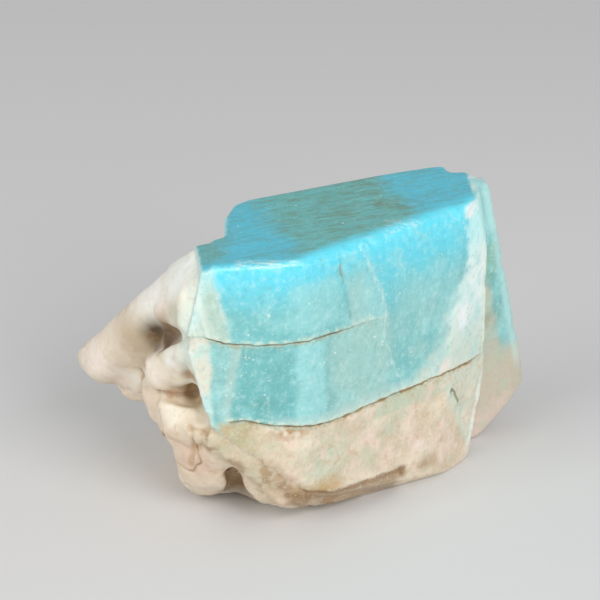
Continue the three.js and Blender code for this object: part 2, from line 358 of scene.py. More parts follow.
def convexity(points, normals, edges, rounds):
    """Above 0 on ridges and edges, below 0 in grooves, in millimetres."""
    return dots(points - relaxed(points, edges, rounds, 1.0), normals)


def beside(points, normals, path):
    """Each point's distance to a path, measured along the surface, or FAR where it isn't near."""
    least = np.full(len(points), FAR)
    for start, end in zip(np.array(path), np.array(path)[1:]):
        run = end - start
        t = np.clip((points - start) @ run / (run @ run), 0, 1)
        away = points - start - t[:, None] * run
        lift = dots(away, normals)
        distance = np.sqrt(np.maximum(dots(away, away) - lift**2, 0))
        least = np.minimum(least, np.where(np.abs(lift) < PATH_LIFT, distance, FAR))
    return least


def grown(mesh, distance, steps, spacing):
    """A mesh moved outward by a distance, or inward where it is below 0, a step at a time."""
    for _ in range(steps):
        move_to(mesh, points_of(mesh) + normals_of(mesh) * distance / steps)
        mesh = remeshed(mesh, spacing)
    return mesh


def largest_part(mesh):
    work = bmesh.new()
    work.from_mesh(mesh)
    unseen = set(work.verts)
    parts = []
    while unseen:
        part = {unseen.pop()}
        front = list(part)
        while front:
            for edge in front.pop().link_edges:
                for vertex in edge.verts:
                    if vertex in unseen:
                        unseen.discard(vertex)
                        part.add(vertex)
                        front.append(vertex)
        parts.append(part)
    parts.sort(key=len)
    for part in parts[:-1]:
        bmesh.ops.delete(work, geom=list(part), context="VERTS")
    return written(work, mesh)


def refined(mesh, near, cuts):
    """A mesh whose edges with both ends near are split into shorter ones, all in triangles."""
    edges = edges_of(mesh)
    work = bmesh.new()
    work.from_mesh(mesh)
    work.edges.ensure_lookup_table()
    chosen = [work.edges[i] for i in np.flatnonzero(near[edges].all(axis=1))]
    bmesh.ops.subdivide_edges(work, edges=chosen, cuts=cuts, use_grid_fill=True)
    bmesh.ops.triangulate(work, faces=work.faces)
    return written(work, mesh)


def set_attributes(mesh, tint, **numbers):
    """A colour and named numbers stored at each point, for the material to read."""
    rgba = np.concatenate((tint, np.ones((len(tint), 1))), axis=1)
    attribute = mesh.attributes.new("tint", "FLOAT_COLOR", "POINT")
    attribute.data.foreach_set("color", rgba.astype(np.float32).ravel())
    for name, values in numbers.items():
        attribute = mesh.attributes.new(name, "FLOAT", "POINT")
        attribute.data.foreach_set("value", np.asarray(values, np.float32))


def solid_of(node):
    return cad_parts[node].data


def face_towards(direction):
    """The plane of the crystal's largest flat face that faces about that way."""
    mesh = solid_of(CRYSTAL_NODE)
    areas = {}
    for polygon in mesh.polygons:
        if polygon.normal.dot(Vector(direction).normalized()) > SAME_WAY:
            distance = polygon.normal.dot(mesh.vertices[polygon.vertices[0]].co) / MM
            key = (*(round(c, 2) for c in polygon.normal), round(distance, 1))
            area, _ = areas.get(key, (0, None))
            areas[key] = (area + polygon.area, (np.array(polygon.normal), distance))
    return max(areas.values(), key=lambda entry: entry[0])[1]


TOP_FACE = face_towards((0, 0, 1))
LEFT_FACE = face_towards((0.166, -0.986, 0))    # the front's left face
RIGHT_FACE = face_towards((0.654, -0.756, 0))   # the front's right face
END_FACE = face_towards((0.823, -0.568, 0))     # the narrow face at the right end
LEFT_HEEL = face_towards((-0.652, -0.04, -0.758))  # it leans in below the left end


def tree_of(*nodes):
    """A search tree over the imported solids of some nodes."""
    corners, faces = [], []
    for mesh in map(solid_of, nodes):
        start = len(corners)
        corners += [v.co / MM for v in mesh.vertices]
        faces += [[start + i for i in p.vertices] for p in mesh.polygons]
    return BVHTree.FromPolygons(corners, faces)


def distance_to(points, tree, reach):
    """Each point's distance to a tree's surface, up to reach."""
    distances = np.full(len(points), float(reach))
    for i, point in enumerate(points):
        distance = tree.find_nearest(point, reach)[3]
        if distance is not None:
            distances[i] = distance
    return distances


RAY_COUNT = 20                   # rays, spread over a sphere, that look for what shades a point
RAY_START = 0.5                  # they start this high over the surface
LEAST_FACING = 0.15              # and this much of a ray's direction is along the point's normal


def sphere_directions(count):
    i = np.arange(count) + 0.5
    z = 1 - 2 * i / count
    turn = math.pi * (1 + math.sqrt(5)) * i
    r = np.sqrt(1 - z * z)
    return np.stack((r * np.cos(turn), r * np.sin(turn), z), axis=1)


def occlusion(points, normals, edges, tree, reach):
    """How closed in each point is, from 0 in the open to 1 deep in a hollow."""
    directions = sphere_directions(RAY_COUNT)
    facing = normals @ directions.T
    starts = points + normals * RAY_START
    shade = np.zeros(len(points))
    for i, (start, row) in enumerate(zip(starts, facing)):
        hit = weight = 0.0
        for k in np.flatnonzero(row > LEAST_FACING):
            weight += row[k]
            if tree.ray_cast(start, directions[k], reach)[0] is not None:
                hit += row[k]
        shade[i] = hit / max(weight, 1e-6)
    return relaxed(shade[:, None], edges, 6)[:, 0]


# ---- the crystal's shape

CRACKS = ("upper", "lower")
HEAL_ROUNDS = 90                 # rounds of relaxing that draw the solid's cracks shut
GROOVE_DEPTH = 0.26              # a narrow crack, and the lip that stands over it
GROOVE_WIDTH = 0.11
LIP_HEIGHT = 0.06
LIP_WIDTH = 0.3
LIP_RISE = 0.45                  # from the crack's middle up to the lip's
SLOT_SWELL = 0.2
CREVICE_DEPTH = 0.2
CREVICE_WIDTH = 0.3


def rounded_edge(points, first, second, radius):
    """Points near the edge of two square faces, moved onto a round of that radius."""
    u = np.maximum(radius - depth_behind(points, first), 0)
    v = np.maximum(radius - depth_behind(points, second), 0)
    reach = np.hypot(u, v)
    pull = np.where(reach > radius, 1 - radius / np.maximum(reach, 1e-9), 0)
    return points - np.outer(u * pull, first[0]) - np.outer(v * pull, second[0])


def round_top_edges(points):
    """The top's front edges: crisp along the left face, worn and soft along the right one."""
    wear = 0.5 + 0.5 * noise(points * (1, 1, 0.1), 4.0, 3)
    chips = ramp(0.35, 0.8, noise(points * (1, 1, 0.3), 1.7, 4))
    for face, small, large in ((LEFT_FACE, 0.3, 0.4), (RIGHT_FACE, 1.1, 0.9), (END_FACE, 0.6, 0.6)):
        points = rounded_edge(points, TOP_FACE, face, small + large * wear + 0.5 * chips)
    return points


def heal_cracks(points, edges):
    """The solid's own wide cracks drawn shut, to be cut again as narrow ones."""
    x, z = points[:, 0], points[:, 2]
    upper_height, slope = SOLID_UPPER
    lower_height, bend, climb = SOLID_LOWER
    upper = np.abs(z - (upper_height + slope * x)) < CRACK_REACH
    lower = np.abs(z - (lower_height + climb * np.maximum(0, bend - x))) < CRACK_REACH
    return relaxed(points, edges, HEAL_ROUNDS, (upper | lower) * 0.9)


def on_plate(points):
    """1 on the parallel plate at the right, 0 elsewhere."""
    return ramp(3.0, 3.8, depth_behind(points, RIGHT_FACE)) * (points[:, 0] > 20)


def soften_corners(points, edges):
    """The corner of the front faces, the edge over the left heel and the plate's edges, rounded."""
    x, y, z = points.T
    corner = band(x, -2.5, 2.5, 1.0) * band(z, 1, 37, 3) * (y < -14)
    points = relaxed(points, edges, 60, 0.8 * corner)
    heel = (np.abs(depth_behind(points, LEFT_HEEL)) < 2.5) & (z < 17)
    points = relaxed(points, edges, 50, 0.8 * heel)
    return relaxed(points, edges, 12, 0.6 * on_plate(points))


def height_over(points, line):
    """Height over a crack, which wavers a little."""
    waver = 0.14 * noise(points, 1.7, 5) + 0.06 * noise(points, 0.6, 6)
    return points[:, 2] - along(line, points[:, 0]) + waver


def cracks_at(points, normals):
    """How high over each crack the points lie, and how open it is where it passes them."""
    x, y, _ = points.T
    front = ramp(0.1, 0.4, np.maximum(-normals[:, 1], -normals[:, 0])) * ramp(6, 3, y)
    return {
        "upper": height_over(points, UPPER_CRACK),
        "lower": height_over(points, LOWER_CRACK),
        "upper_open": along(UPPER_GAPE, x) * front,
        "lower_open": along(LOWER_GAPE, x) * (1 - on_plate(points)) * ramp(0.0, 0.3, -normals[:, 1]),
    }


def crystal_base():
    """The dense copy with worn edges and healed cracks, and finer faces along the cracks."""
    mesh = remeshed(solid_of(CRYSTAL_NODE).copy(), CRYSTAL_GRID)
    edges = edges_of(mesh)
    points = relaxed(points_of(mesh), edges, 3)
    points = heal_cracks(points, edges)
    points = round_top_edges(points)
    points = soften_corners(points, edges)
    move_to(mesh, points)
    cracks = cracks_at(points, normals_of(mesh))
    near = beside(points, normals_of(mesh), SLOT) < SLOT_BAND
    for name in CRACKS:
        near |= (np.abs(cracks[name]) < CRACK_BAND) & (cracks[name + "_open"] > 0)
    return refined(mesh, near, 2)


def crystal_relief(points, normals, lower):
    """The height of the fine relief over the crystal's faces."""
    up = ramp(0.75, 0.95, normals[:, 2])
    side = 1 - ramp(0.3, 0.6, np.abs(normals[:, 2]))
    foot = ramp(0.3, -0.8, lower)
    streaks = noise(stretched(points, (9, 0.6, 1), STREAK_ANGLE), 1.0, 11)
    fine_streaks = noise(stretched(points, (5, 0.35, 1), STREAK_ANGLE), 1.0, 12)
    upright = noise(stretched(points, (0.8, 0.8, 9)), 1.0, 13)
    relief = up * (0.045 * streaks + 0.025 * fine_streaks)
    relief += side * (1 - foot) * (0.01 * upright + 0.05 * fractal(points, 2.6, 3, 16))
    grains = 0.10 * np.abs(noise(points, 0.9, 24)) + 0.06 * noise(points, 0.6, 25)
    relief += side * foot * (0.26 * fractal(points, 3.2, 4, 20) + grains - 0.05)
    step = ramp(-0.15, 0.15, -right_of(PALE_LINE, points)) * (points[:, 2] > 20)
    relief += side * ramp(0.4, 0.7, -normals[:, 1]) * 0.10 * step * (1 - foot)
    return relief * (1 - 0.7 * on_plate(points))


def crack_depth(height, opening):
    """How deep a crack and the lip over it are cut, at a height over the crack's middle."""
    groove = np.exp(-((height / GROOVE_WIDTH) ** 2))
    lip = np.exp(-(((height - LIP_RISE) / LIP_WIDTH) ** 2))
    return opening * (GROOVE_DEPTH * groove - LIP_HEIGHT * lip)


def crystal_shape():
    """The crystal's fine mesh, and how its points lie to the cracks."""
    mesh = crystal_base()
    points, normals = surface_of(mesh)
    cracks = cracks_at(points, normals)
    relief = crystal_relief(points, normals, cracks["lower"])
    relief -= sum(crack_depth(cracks[name], cracks[name + "_open"]) for name in CRACKS)
    relief += SLOT_SWELL * ramp(0.9, 0.3, beside(points, normals, SLOT))
    relief -= CREVICE_DEPTH * np.exp(-((beside(points, normals, CREVICE) / CREVICE_WIDTH) ** 2))
    move_to(mesh, points + normals * relief[:, None])
    mesh.shade_smooth()
    return mesh, cracks


# ---- the crystal's colours


def strip_x(points):
    """x where a line through the point, leaning like the left end's strips, crosses z = 22."""
    return points[:, 0] - 0.14 * (points[:, 2] - 22)


def upper_tier_colour(points, warp):
    """The faces over the upper crack, blue at the top and greener below."""
    x, _, z = points.T
    left_of_line = ramp(0.6, -0.2, right_of(PALE_LINE, points))
    block = ramp(-0.1, 0.5, right_of(UPRIGHT_CRACK, points)) * left_of_line
    low_right = ramp(10.5, 15.0, x + warp) * ramp(36, 29, z + 1.5 * warp)
    return layered(
        TEAL,
        (CYAN, ramp(31.5, 40.5, z + 1.2 * warp)),
        (GREY_TEAL, 0.85 * block * ramp(38.5, 33.5, z + warp)),
        (PALE_TEAL, 0.6 * band(x, -0.5, 4.0, 2.0) * band(z, 31, 36, 2.0)),
        (CYAN, 0.4 * ramp(6, 11, x + warp) * ramp(24, 35, z)),
        (GREY_TEAL, 0.45 * low_right),
    )


def lower_tier_colour(points, warp):
    """The faces between the cracks, teal at the left and greyer at the right."""
    x = points[:, 0]
    greyer = ramp(2.2, 5.0, x + warp) * ramp(15.5, 12.5, x - 0.5 * warp)
    return layered(
        DEEP_TEAL,
        (TEAL, 0.5 + 0.7 * warp),
        (PALE_TEAL, 0.8 * band(x + 0.5 * warp, -0.3, 2.4, 1.2)),
        (GREY_TEAL, 0.85 * greyer),
        (mixed(TEAL, GREY_TEAL, 0.35 + 0.6 * warp), ramp(11.0, 12.6, x + 0.5 * warp)),
    )


def end_colour(points, warp):
    """The pale narrow face at the right end, with a painted highlight along its ridge."""
    x, _, z = points.T
    milky = ball(points, (23.2, 1.4, 23.3), 3.0) + ball(points, (23.2, 2.4, 39.4), 2.8)
    pinkish = ball(points * (0.5, 0.5, 1), (9.7, -1.0, 17.2), 2.0)
    # a painted highlight along the ridge
    ridge_highlight = band(right_of(RIDGE, points), -0.35, 0.25, 0.3)
    return layered(
        srgb(238, 253, 248),
        (srgb(200, 255, 255), ramp(29, 37, z)),
        (PALE_TEAL, 0.5 * ramp(0.1, 0.6, warp)),
        (GREY_TEAL, 0.6 * ramp(21.0, 19.0, x + 0.5 * warp)),
        (PALE_GREEN, 0.8 * ramp(28, 17, z + 2 * warp)),
        (srgb(247, 253, 253), 1.7 * milky * ramp(-0.4, 0.1, fractal(points, 1.4, 3, 38))),
        (srgb(244, 230, 220), 0.9 * pinkish),
        (srgb(246, 247, 224), 0.8 * ridge_highlight * ramp(35, 28, z)),
    )


def foot_colour(points, warp):
    """The pale, grainy crystal under the lower crack, with a painted highlight on the ridge at its right
    corner.
    """
    x, _, z = points.T
    coarse = fractal(points, 2.2, 4, 33)
    green = 0.5 * ramp(-0.1, 0.5, fractal(points, 3.4, 3, 34) + 0.4 * coarse) * ramp(2, 8, z)
    green = np.maximum(green, 0.8 * ball(points + warp[:, None], (3.0, -16.5, 9.5), 6.5))
    green = np.maximum(green, 0.8 * band(x + warp, 11, 20, 2) * band(z, 13.6, 15.4, 1.0))
    yellow = ball(points * (0.5, 0.6, 1) + 0.6 * warp[:, None], (1.3, -10.1, 5.2), 3.0)
    stain = ball(points * (0.4, 0.4, 1), (-0.7, -7.5, 15.4), 1.7)
    shifted = points * (0.7, 0.7, 1) + 0.5 * warp[:, None]
    beige = layered(
        BEIGE,
        (CREAM, 0.4 + 0.9 * warp),
        (PINK, 0.8 * ramp(0.0, 0.4, coarse)),
        (SAGE, green * ramp(0.7, -0.3, coarse)),
        (STAINED_OLIVE, 0.7 * ramp(-4.0, -8.5, x + warp) * ramp(11.5, 14, z)),
        (srgb(198, 168, 118), 1.2 * yellow),
        (RUST, 0.9 * stain * ramp(-0.2, 0.3, fractal(points, 0.9, 2, 35))),
        (srgb(240, 224, 214), 0.8 * ball(points, (16.6, -4.4, 6.4), 2.0)),
        (srgb(184, 160, 130), ball(shifted, (12.2, -2.7, 3.2), 1.9)),
        (BROWN, ball(shifted, (9.7, -4.7, 3.2), 1.2)),
    )
    # a painted white highlight on the ridge at the right corner
    ridge_highlight = band(right_of(RIDGE, points), -0.4, 0.3, 0.3) * band(z, 3, 11, 2)
    corner = layered(PALE_GREEN, (CREAM, 0.3 + 0.8 * warp), (WHITE, 0.7 * ridge_highlight))
    beige_end = 23.6 - (z - 1.0) * 0.32
    return mixed(beige, corner, ramp(-0.3, 0.5, x - beige_end + 0.3 * warp))


def heel_stain_and_crevice_shade(colour, points, normals, warp, fine_warp):
    """The tan stain along the lower left edge, and painted shade in the crevice at the foot and on the lip
    under it.
    """
    x, _, z = points.T
    tan = layered(
        srgb(196, 186, 156),
        (srgb(172, 144, 110), ramp(-7, -2, x + warp)),
        (srgb(212, 194, 170), 0.4 + fine_warp),
    )
    heel = ramp(2.8, 0.6, beside(points, normals, HEEL_EDGE) + 1.2 * warp)
    # painted shade in the crevice
    crevice = ramp(0.6, 0.15, beside(points, normals, CREVICE) + 0.25 * fine_warp)
    crevice_x, _, crevice_z = np.array(CREVICE).T
    # painted shade on the lip's underside, below the crevice
    under = ramp(-0.1, 0.5, np.interp(x, crevice_x, crevice_z) - z + 0.5 * fine_warp)
    lip = under * band(x + warp, -1.5, 12.5, 1.5) * ramp(3.0, 1.5, depth_behind(points, RIGHT_FACE))
    return layered(colour, (tan, 0.85 * heel), (srgb(156, 129, 98), 0.8 * lip), (BROWN, 0.85 * crevice))


def plate_colour(points, warp):
    """The parallel plate at the right: greenish above, beige and stained below."""
    x, _, z = points.T
    past_end = x + 0.19 * (z - 7) - 31.7        # past the leaning right end of the plate
    spots = ramp(0.0, 0.4, fractal(points, 1.6, 3, 39))
    strip = ramp(-2.4, -1.2, past_end + 0.6 * warp)
    # the groove strip in front of the plate: partly stain, partly painted shade
    groove = ramp(1.6, 0.3, np.abs(right_of(RIDGE, points) - 0.8) + 0.5 * warp)
    fibres = fractal(stretched(points, (1.0, 1.0, 4.0)), 1.0, 3, 37)
    streaked = np.clip(0.5 + 0.9 * fibres, 0.2, 1)
    squat = points * (1, 1, 0.6) + 0.5 * warp[:, None]
    stains = [(stain, ball(squat, centre, radius) * streaked) for centre, radius, stain in PLATE_STAINS]
    return layered(
        srgb(190, 196, 180),
        # the upper plate's teal: partly its colour, partly painted shade where the plate faces away from the
        # light
        (srgb(134, 190, 184), ramp(23, 28, z + 1.5 * warp)),
        (PALE_TEAL, ramp(30, 34, z + warp)),
        (srgb(206, 196, 176), ramp(16, 8, z + 3 * warp)),
        (srgb(224, 204, 190), ramp(7, 2, z + 2 * warp)),
        (SAGE, 0.5 * spots * ramp(24, 18, z)),
        (srgb(134, 206, 208), 0.9 * strip * band(z, 15, 31, 2.5)),
        (srgb(140, 180, 156), 0.6 * groove * band(z, 26, 30, 1.5)),
        *stains,
        (ICE, 0.4 * ramp(-0.7, 0.0, past_end) * ramp(8, 12, z)),
    )


def left_end_colour(colour, points, upper, warp):
    """The pale band along the left end, with its white and blue strips below the upper crack."""
    x, _, z = points.T
    bow = right_of(BLUE_LEFT, points)
    above = ramp(-0.3, 0.3, upper)
    stripes = ramp(-0.5, 0.6, fractal(np.stack((bow, 0 * z, z / 12), axis=1), 0.8, 3, 62))
    banded = layered(
        srgb(176, 204, 190),
        (srgb(228, 236, 224), 0.9 * stripes),
        (srgb(190, 240, 244), 0.7 * ramp(36, 39.5, z)),
    )
    white = band(strip_x(points) + 0.5 * warp, -10.2, -9.7, 0.9) * (1 - above)
    blue = ramp(-10.0, -11.0, strip_x(points) + 0.4 * warp) * (1 - above)
    cream = ramp(0.5, -0.3, x + 12.5 + 0.4 * warp) * (1 - above)
    return layered(
        colour,
        (banded, ramp(0.8, -0.6, bow + 0.4 * warp) * above),
        (srgb(188, 212, 204), 0.7 * white),
        (srgb(160, 208, 204), 0.6 * blue),
        (mixed(srgb(234, 226, 208), ICE, ramp(23, 19, z + warp)), 0.9 * cream),
    )


def top_colour(points, warp, fine_warp):
    """The top's colour, and how strongly its streaks show."""
    x, y, _ = points.T
    middle = band(x + 0.4 * y + 2.5 * warp, -3.0, 12.0, 6.0)
    rim = ramp(3.2, 0.8, depth_behind(points, RIGHT_FACE) + 0.8 * warp)
    olive = ball(points * (0.45, 1, 1), (5.2, 1.5, 40.5), 3.6)
    olive += 0.8 * ball(points * (0.4, 1, 1), (3.6, 9.5, 40.5), 3.0)
    pale_end = ramp(-0.2, 0.2, x - 23.4 + 0.06 * (y - 7.5) + 0.3 * fine_warp)
    colour = layered(
        TOP_BLUE,
        (TOP_GREEN, 0.9 * middle),
        (STREAK_OLIVE, 0.8 * olive * ramp(-0.3, 0.3, fine_warp)),
        (CYAN, rim),
        (CYAN, 0.6 * ramp(2.0, 0.4, depth_behind(points, LEFT_FACE) + 0.6 * warp)),
        (DEEP_TEAL, 0.8 * ramp(-9.0, -12.0, x + 0.5 * warp) * ramp(-20, -17, y)),
        (mixed(PALE_TEAL, WHITE, 0.3 + warp), pale_end),
    )
    return colour, (0.55 + 0.45 * middle) * (1 - rim) * (1 - pale_end)


def colour_crystal(mesh, cracks):
    """The crystal's colours, zone by zone, and what else its material reads."""
    points, normals = surface_of(mesh)
    x, y, z = points.T
    warp, fine_warp = warps(points)
    upper = z - along(UPPER_CRACK, x)
    lower = z - along(LOWER_CRACK, x)
    up = ramp(0.6, 0.95, normals[:, 2])
    front = ramp(0.05, 0.35, -normals[:, 1]) * ramp(8, 4, y)
    blend = 0.15 + 3.5 * ramp(9.5, 14.0, x)
    above = ramp(-blend, blend, upper + 0.4 * warp * (blend > 0.2)) * front
    above += (1 - front) * ramp(24, 34, z + 2 * warp)
    softness = 0.45 + 1.6 * ramp(30, 23, z)
    end = ramp(-softness, softness, right_of(BLUE_RIGHT, points) + 0.8 * fine_warp) * (y < 12)
    over_crack = band(lower + 0.5 * warp, 0.1, 1.1, 0.9) * band(x, -3.0, 14.0, 2.5) * front
    foot = ramp(0.3, -0.5, lower + 0.3 * fine_warp)
    foot *= ramp(-12.6, -10.4, x + 0.5 * warp) * front + (1 - front)
    plate = ramp(3.2, 4.0, depth_behind(points, RIGHT_FACE)) * (x > 22)
    to_matrix = distance_to(points, tree_of(MATRIX_NODE), 4.0)
    contact = ramp(2.4, 0.4, to_matrix + 0.6 * warp) * ramp(12, 14, z)

    tiers = mixed(lower_tier_colour(points, warp), upper_tier_colour(points, warp), above)
    colour = left_end_colour(mixed(tiers, end_colour(points, warp), end), points, upper, warp)
    colour = layered(colour, (srgb(200, 218, 212), 0.45 * over_crack), (foot_colour(points, warp), foot))
    colour = heel_stain_and_crevice_shade(colour, points, normals, warp, fine_warp)
    top, streak = top_colour(points, warp, fine_warp)
    colour = layered(colour, (plate_colour(points, warp), plate * (1 - up)), (ICE, 0.7 * contact), (top, up))

    # where the top's front edges get painted white highlight streaks, partly worn white scratches
    glint_and_wear = band(x, -8.5, -1.5, 1.2) * (y < -18) + 0.7 * band(x, 11.5, 16.0, 1.0) * (y < -4)
    set_attributes(
        mesh,
        colour,
        **cracks,
        streak=up * streak,
        clear=(1 - up) * (1 - foot),
        upright=np.where(front > 0.5, right_of(UPRIGHT_CRACK, points), FAR),
        upright_open=0.25 * band(z, 29, 39, 0.5) + 0.55 * band(z, 36.8, 39.4, 0.6),
        pale_line=np.where(front > 0.5, right_of(PALE_LINE, points), FAR),
        highlight=glint_and_wear * band(z, 40.1, 40.6, 0.3),
        grain=np.maximum(foot * (1 - plate), 0.5 * plate * ramp(24, 8, z)),
        fleck=fleck_density(points, upper, lower, up, foot),
        slot=ramp(0.30, 0.06, beside(points, normals, SLOT)),
        edge=convexity(points, normals, edges_of(mesh), 3),
    )


def fleck_density(points, upper, lower, up, foot):
    """Where the white flecks lie: mostly between the cracks, and just over the upper one."""
    x, _, z = points.T
    tier = (1 - ramp(-0.6, 0.2, upper)) * ramp(0.2, 0.8, lower) * band(x, -10.5, 13, 1.5)
    rim = band(upper, 0.3, 2.0, 0.8) * band(x, -6, 12, 2)
    line = band(right_of(PALE_LINE, points), -0.6, 0.6, 0.5) * (z > 20)
    strip = band(strip_x(points), -10.3, -8.5, 0.8) * tier
    clumps = ramp(-0.1, 0.5, fractal(points, 3.0, 2, 61))
    density = 0.1 + 0.1 * tier * (0.6 + clumps) + 0.25 * rim * clumps + 0.3 * line + 0.35 * strip
    return density * (1 - 0.8 * up) * (1 - foot) * (1 - 0.8 * on_plate(points))


# ---- the feldspar's shape

FUSE_REACH = 0.8                 # seams narrower than twice this are filled
FUSE_GRID = 0.4                  # spacing of the points while they are
CONTACT_SINK = 0.22              # how far the fillets start below the crystal's faces
CONTACT_OVERLAP = 0.08           # how far the feldspar reaches into the crystal

HEEL_STEPS = 25                  # the crystal's lower left edge is divided into this many steps
HEEL_CRUMBS = 23                 # and a crumb of feldspar lies at each of the first ones
# Lumps that fill the gap between the knob and the shelf, the seam between the arm and its root, the
# seam beside the crystal's upper left edge, and the bottom of the hollow behind the knob.
FILLETS = (
    ((-15.4, -10.8, 18.8), 2.3),
    ((-18.8, -11.8, 30.2), 1.8),
    ((-15.7, -18.6, 35.5), 1.2),
    ((-15.9, -18.9, 33.6), 1.2),
    ((-16.0, -19.0, 31.8), 1.2),
    ((-17.2, -11.0, 26.6), 2.1),
)

# Paths along the feldspar's surface, each with its reach to both sides and its depth. A groove's
# depth is above 0 and a ridge's is below 0.
CARVINGS = {
    "under_knob": (((-20.2, -11.8, 18.4), (-18.4, -13.0, 18.4), (-15.0, -12.5, 18.0)), 1.0, 0.6),
    "beside_knob": (((-15.5, -16.5, 25.0), (-15.0, -14.5, 21.5), (-14.8, -11.5, 18.4)), 1.5, 0.35),
    "beside_shelf": (((-20.3, -11.6, 17.8), (-20.0, -13.3, 15.4), (-19.4, -13.6, 12.8)), 0.9, 0.4),
    "under_shelf": (((-19.6, -12.6, 12.4), (-17.2, -15.6, 12.2), (-15.4, -16.6, 11.6)), 1.1, 0.3),
    "cavity": (((-10.2, -15.4, 7.8), (-9.0, -13.5, 5.4), (-8.5, -11.5, 2.0)), 1.7, 1.2),
    "foot": (((-6.0, -19.4, 11.4), (-4.6, -19.3, 9.4), (-3.2, -19.0, 7.2)), 0.9, 0.5),
    "foot_fork": (((-1.9, -18.9, 10.6), (-3.0, -19.0, 7.6), (-2.4, -18.4, 5.6)), 0.8, 0.4),
    "behind_spur": (((-22.9, -1.8, 17.0), (-22.6, -4.0, 15.5), (-22.8, -1.6, 12.7)), 0.9, 0.5),
    "under_tip": (((-27.2, 3.2, 12.0), (-25.0, 2.2, 11.8), (-23.2, 0.6, 12.6)), 0.9, 0.4),
    "recess": (((-21.2, -7.8, 24.1), (-19.1, -8.3, 25.1), (-17.6, -9.2, 26.3)), 2.2, 0.7),
    "arm_pits": (((-25.2, -4.0, 21.2), (-24.8, -3.3, 19.0)), 0.9, 0.25),
    "knob_ridge": (((-21.2, -12.1, 22.9), (-19.0, -14.2, 24.5), (-16.0, -17.5, 26.8)), 1.2, -0.5),
    "shelf_edge": (((-19.4, -13.4, 16.9), (-17.0, -15.4, 17.2), (-14.8, -16.6, 17.2)), 0.9, -0.45),
}

# Brown lines where the feldspar is cracked, carved a little.
CHEEK_LINES = (
    ((-15.7, -18.4, 15.9), (-13.5, -19.7, 16.1), (-13.1, -19.7, 14.7)),
    ((-13.1, -19.7, 14.7), (-15.4, -17.6, 11.8), (-15.6, -15.8, 8.6)),
)

# Patches of colour on the feldspar: a centre, a radius, a colour and a share. Most are its own tints and
# stains; those marked are painted shade or painted light, in whole or in part.
PATCHES = {
    # partly the feldspar's white, partly painted light on the arm's lit top
    "arm_top_lit": ((-20.6, -7.5, 32.4), 9.0, srgb(255, 252, 242), 1.4),
    "root": ((-16.6, -14.6, 37.4), 7.0, srgb(252, 255, 246), 1.4),
    # painted shade under the arm's root
    "under_root_shade": ((-17.4, -17.4, 31.8), 3.6, srgb(214, 212, 188), 1.26),
    # partly a brown stain, partly painted shade on the arm's underside
    "arm_stain_and_shade": ((-23.4, -5.6, 23.4), 6.0, srgb(204, 184, 154), 0.98),
    # painted shade on the lower end of the root
    "root_end_shade": ((-18.2, -12.8, 28.4), 4.0, srgb(158, 134, 104), 1.26),
    # painted shade in the recess under the arm
    "recess": ((-19.4, -8.6, 25.2), 4.8, srgb(98, 74, 48), 1.4),
    # painted shade in the hollow behind the knob
    "knob_back_shade": ((-18.4, -12.2, 26.4), 3.2, srgb(104, 80, 54), 1.4),
    # partly the knob's cream, partly painted light on its lit front
    "knob_top_lit": ((-20.4, -13.4, 22.6), 3.6, srgb(255, 242, 226), 1.4),
    # painted shade on the knob's right side, next to the crystal
    "knob_side_shade": ((-15.6, -13.5, 20.2), 3.4, srgb(158, 126, 92), 1.12),
    # painted shade in the valley between the knob and the crystal
    "beside_knob": ((-15.4, -17.2, 23.2), 2.0, srgb(176, 150, 122), 1.26),
    # partly an orange tint on the shelf's top, partly painted shade under the knob
    "under_knob": ((-17.6, -12.5, 18.6), 1.8, srgb(206, 160, 116), 1.12),
    # partly the shelf's cream, partly painted light on its lit ledge
    "shelf": ((-17.6, -15.0, 16.4), 3.8, srgb(255, 244, 224), 1.4),
    "cheek": ((-15.0, -16.8, 10.0), 5.4, srgb(228, 202, 180), 1.4),
    # painted shade in the cavity at the foot
    "cavity": ((-9.0, -12.6, 2.6), 4.4, srgb(98, 76, 52), 1.4),
    "foot": ((-3.6, -18.5, 6.6), 6.0, srgb(200, 172, 136), 1.26),
    "tip": ((-29.0, 2.0, 17.5), 5.0, srgb(255, 240, 226), 1.4),
}


def heel_crumbs():
    """Centres and radii of the crumbs along the crystal's lower left edge."""
    start, end = np.array(HEEL_EDGE)
    run = (end - start) / np.linalg.norm(end - start)
    out = LEFT_FACE[0]
    across = np.cross(run, out)
    crumbs = []
    for i in range(HEEL_CRUMBS):
        cell = np.full((1, 3), i)
        slide, size, rise = (hashed(cell, seed)[0] for seed in (70, 71, 72))
        radius = 0.6 + 0.7 * size
        centre = start + (end - start) * i / HEEL_STEPS + across * (1.6 * slide - 0.9)
        crumbs.append((centre - out * (radius - 0.1 - 0.25 * rise), radius))
    return crumbs


def lump_mesh(centre, radius):
    work = bmesh.new()
    bmesh.ops.create_icosphere(work, subdivisions=3, radius=radius * MM)
    bmesh.ops.translate(work, vec=Vector(centre) * MM, verts=work.verts)
    return written(work, bpy.data.meshes.new("lump"))


def fused_mass(crystal):
    """The feldspar with its seams filled, and with fillets where it meets the crystal."""
    sunken = shrunk(crystal, CONTACT_SINK)
    fillets = [lump_mesh(*fillet) for fillet in (*FILLETS, *heel_crumbs())]
    mass = remeshed(joined(solid_of(MATRIX_NODE), sunken, *fillets), FUSE_GRID)
    mass = grown(mass, FUSE_REACH, 3, FUSE_GRID)
    return grown(mass, -FUSE_REACH, 3, MATRIX_GRID)


def wander_of(points):
    """How far the carved lines stray to one side, in millimetres."""
    return 0.2 * noise(points, 1.5, 45)


